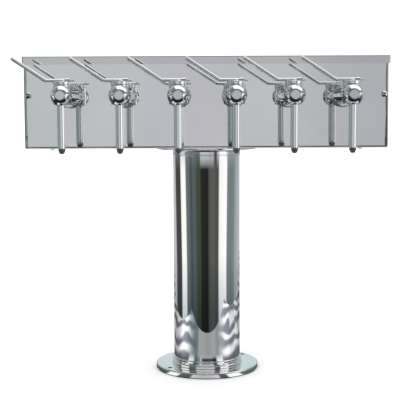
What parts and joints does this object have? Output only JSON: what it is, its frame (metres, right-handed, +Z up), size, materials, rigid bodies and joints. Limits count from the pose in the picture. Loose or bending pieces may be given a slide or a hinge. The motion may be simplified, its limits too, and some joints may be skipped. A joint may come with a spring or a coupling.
{
  "type": "draft wine tower",
  "caption": "T-shaped drinks tower: round column on a flange under a long shallow box, with ball-fronted taps in a row, each with a bent rod lever on top.",
  "frame": {"origin": "centre of the base gasket's underside, on the column's axis", "axes": "+Z up along the column, +X to the viewer's right along the box, taps face -Y"},
  "size_m": [0.5416, 0.2493, 0.4776],
  "materials": {
    "polished_column": "mirror-polished stainless steel",
    "polished_sheet": "mirror-polished stainless sheet",
    "chrome_plate": "bright chrome plate",
    "spindle_steel": "ground stainless steel",
    "screw_steel": "plain stainless steel",
    "bare_brass": "machined brass",
    "tip_plastic": "glossy black",
    "gasket_rubber": "matt black",
    "foam": "closed-cell foam",
    "line_plastic": "milky tube",
    "packing_plastic": "white"
  },
  "bodies": {
    "tower": {"base_gasket": "gasket_rubber", "base_flange": "polished_column", "foot_ring": "polished_column", "column_tube": "polished_column", "column_insulation": "foam", "neck_flange": "polished_column", "neck_screws": "screw_steel", "neck_nuts": "screw_steel", "box_body": "polished_sheet", "front_panel": "polished_sheet", "top_cover": "polished_sheet", "panel_screws": "screw_steel", "floor_screws": "screw_steel", "screw_nuts": "screw_steel", "shanks": "chrome_plate", "shank_nuts": "bare_brass", "coupling_nuts": "chrome_plate", "tail_elbows": "bare_brass", "tail_nuts": "bare_brass", "wine_lines": "line_plastic", "front_plugs": "chrome_plate", "gland_nuts": "bare_brass", "packing_rings": "packing_plastic", "spout_tips": "tip_plastic", "tap_body_1": "chrome_plate", "tap_body_2": "chrome_plate", "tap_body_3": "chrome_plate", "tap_body_4": "chrome_plate", "tap_body_5": "chrome_plate", "tap_body_6": "chrome_plate", "spout_1": "chrome_plate", "spout_2": "chrome_plate", "spout_3": "chrome_plate", "spout_4": "chrome_plate", "spout_5": "chrome_plate", "spout_6": "chrome_plate"},
    "lever_set_1": {"spindle_1": "spindle_steel", "lever_hub_1": "chrome_plate", "lever_1": "chrome_plate", "lever_nut_1": "chrome_plate"},
    "lever_set_2": {"spindle_2": "spindle_steel", "lever_hub_2": "chrome_plate", "lever_2": "chrome_plate", "lever_nut_2": "chrome_plate"},
    "lever_set_3": {"spindle_3": "spindle_steel", "lever_hub_3": "chrome_plate", "lever_3": "chrome_plate", "lever_nut_3": "chrome_plate"},
    "lever_set_4": {"spindle_4": "spindle_steel", "lever_hub_4": "chrome_plate", "lever_4": "chrome_plate", "lever_nut_4": "chrome_plate"},
    "lever_set_5": {"spindle_5": "spindle_steel", "lever_hub_5": "chrome_plate", "lever_5": "chrome_plate", "lever_nut_5": "chrome_plate"},
    "lever_set_6": {"spindle_6": "spindle_steel", "lever_hub_6": "chrome_plate", "lever_6": "chrome_plate", "lever_nut_6": "chrome_plate"}
  },
  "joints": [
    {"name": "tap_1_valve", "type": "hinge", "parent": "tower", "child": "lever_set_1", "pos_m": [-0.1995, -0.145, 0.4188], "axis": [0, 0, 1], "range_deg": [0, 90]},
    {"name": "tap_2_valve", "type": "hinge", "parent": "tower", "child": "lever_set_2", "pos_m": [-0.1197, -0.145, 0.4188], "axis": [0, 0, 1], "range_deg": [0, 90]},
    {"name": "tap_3_valve", "type": "hinge", "parent": "tower", "child": "lever_set_3", "pos_m": [-0.0399, -0.145, 0.4188], "axis": [0, 0, 1], "range_deg": [0, 90]},
    {"name": "tap_4_valve", "type": "hinge", "parent": "tower", "child": "lever_set_4", "pos_m": [0.0399, -0.145, 0.4188], "axis": [0, 0, 1], "range_deg": [0, 90]},
    {"name": "tap_5_valve", "type": "hinge", "parent": "tower", "child": "lever_set_5", "pos_m": [0.1197, -0.145, 0.4188], "axis": [0, 0, 1], "range_deg": [0, 90]},
    {"name": "tap_6_valve", "type": "hinge", "parent": "tower", "child": "lever_set_6", "pos_m": [0.1995, -0.145, 0.4188], "axis": [0, 0, 1], "range_deg": [0, 90]}
  ]
}
